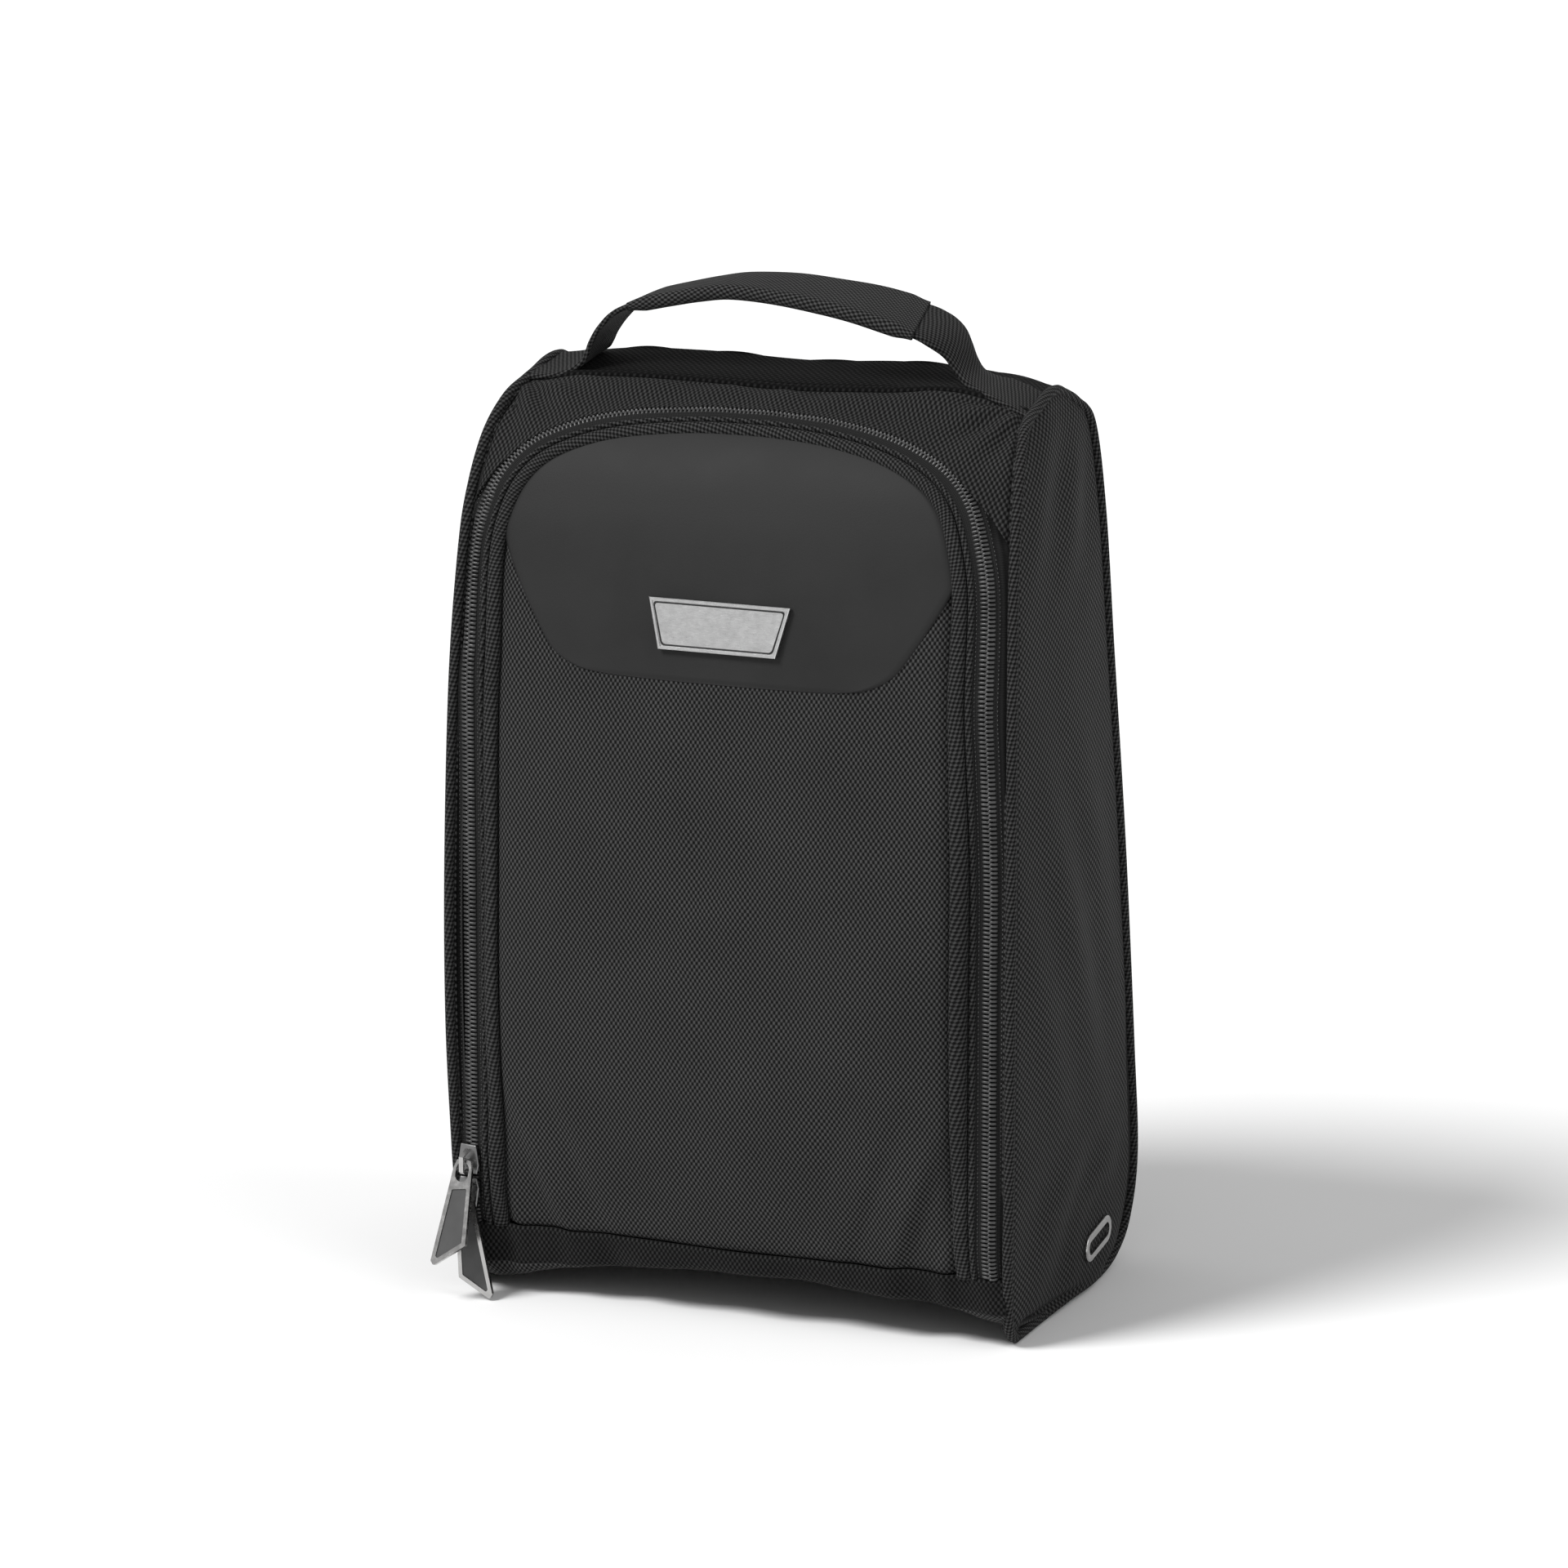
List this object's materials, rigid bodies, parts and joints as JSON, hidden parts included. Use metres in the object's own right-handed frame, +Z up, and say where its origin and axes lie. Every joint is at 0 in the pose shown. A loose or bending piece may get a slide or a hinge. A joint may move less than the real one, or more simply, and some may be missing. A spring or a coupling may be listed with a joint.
{
  "type": "golf shoe bag",
  "caption": "Upright soft zipped bag for a pair of golf shoes, with a U-shaped zip door, carry handle, metal badge, two zip sliders and side vent eyelets.",
  "frame": {"origin": "on the flat of the base, on the left-right centre line, at the plane the bag stands on", "axes": "+X to the bag's own left-hand side seen from behind (right side in a front view), -Y out of the door, +Z up"},
  "size_m": [0.2346, 0.1649, 0.3948],
  "materials": {
    "main_fabric": "coarse plain weave, matt",
    "strap_webbing": "woven webbing",
    "grip_fabric": "coarse plain weave, folded",
    "piping_fabric": "ribbed binding",
    "zip_tape": "smooth narrow tape",
    "zip_coil": "nylon coil",
    "yoke_leather": "smooth, matt",
    "lining_fabric": "thin smooth lining",
    "foam": "closed-cell foam sheet",
    "board": "semi-rigid sheet",
    "badge_metal": "brushed, satin",
    "nickel": "bright nickel",
    "slider_metal": "dark nickel",
    "pull_inlay": "smooth inlay",
    "mesh": "open mesh"
  },
  "bodies": {
    "bag_body": {"back_foam": "foam", "back_panel": "main_fabric", "base_board": "board", "base_panel": "main_fabric", "body_lining": "lining_fabric", "body_zip_coil": "zip_coil", "body_zip_tape": "zip_tape", "corner_piping_left": "piping_fabric", "corner_piping_right": "piping_fabric", "fold_lining": "lining_fabric", "fold_panel": "main_fabric", "fold_piping": "piping_fabric", "handle_foot_left": "strap_webbing", "handle_foot_right": "strap_webbing", "lower_front_band": "main_fabric", "side_foam_left": "foam", "side_foam_right": "foam", "side_panel_left": "main_fabric", "side_panel_right": "main_fabric", "surround_panel": "main_fabric", "top_panel": "main_fabric", "vent_eyelet_left": "nickel", "vent_eyelet_right": "nickel", "vent_mesh_left": "mesh", "vent_mesh_right": "mesh", "vent_washer_left": "slider_metal", "vent_washer_right": "slider_metal"},
    "door": {"badge_plate": "badge_metal", "badge_washer": "slider_metal", "door_foam": "foam", "door_lining": "lining_fabric", "door_panel": "main_fabric", "door_piping": "piping_fabric", "door_yoke": "yoke_leather", "door_zip_coil": "zip_coil", "door_zip_tape": "zip_tape"},
    "handle": {"handle_strap": "strap_webbing", "grip_cover": "grip_fabric", "grip_core": "foam"},
    "upper_slider": {"upper_slider_body": "slider_metal", "upper_slider_bridge": "nickel"},
    "lower_slider": {"lower_slider_body": "slider_metal", "lower_slider_bridge": "nickel"},
    "upper_pull": {"upper_pull_frame": "nickel", "upper_pull_inlay": "pull_inlay"},
    "lower_pull": {"lower_pull_frame": "nickel", "lower_pull_inlay": "pull_inlay"}
  },
  "joints": [
    {"name": "door_hinge", "type": "hinge", "parent": "bag_body", "child": "door", "pos_m": [0, -0.0843, 0.064], "axis": [1, 0, 0], "range_deg": [0, 100]},
    {"name": "handle_swing", "type": "hinge", "parent": "bag_body", "child": "handle", "pos_m": [0, -0.007, 0.371], "axis": [1, 0, 0], "range_deg": [-55, 55], "stiffness_Nm_per_rad": 0.06},
    {"name": "upper_slider_slide", "type": "slide", "parent": "bag_body", "child": "upper_slider", "axis": [0, 0, 1], "range_m": [0, 0.19]},
    {"name": "lower_slider_slide", "type": "slide", "parent": "bag_body", "child": "lower_slider", "axis": [0, 0, 1], "range_m": [-0.004, 0.0005]},
    {"name": "upper_pull_lift", "type": "hinge", "parent": "upper_slider", "child": "upper_pull", "pos_m": [-0.10794, -0.07746, 0.0525], "axis": [1, 0, 0], "range_deg": [-130, 0]},
    {"name": "lower_pull_lift", "type": "hinge", "parent": "lower_slider", "child": "lower_pull", "pos_m": [-0.10794, -0.07746, 0.0393], "axis": [1, 0, 0], "range_deg": [-18, 2]}
  ]
}
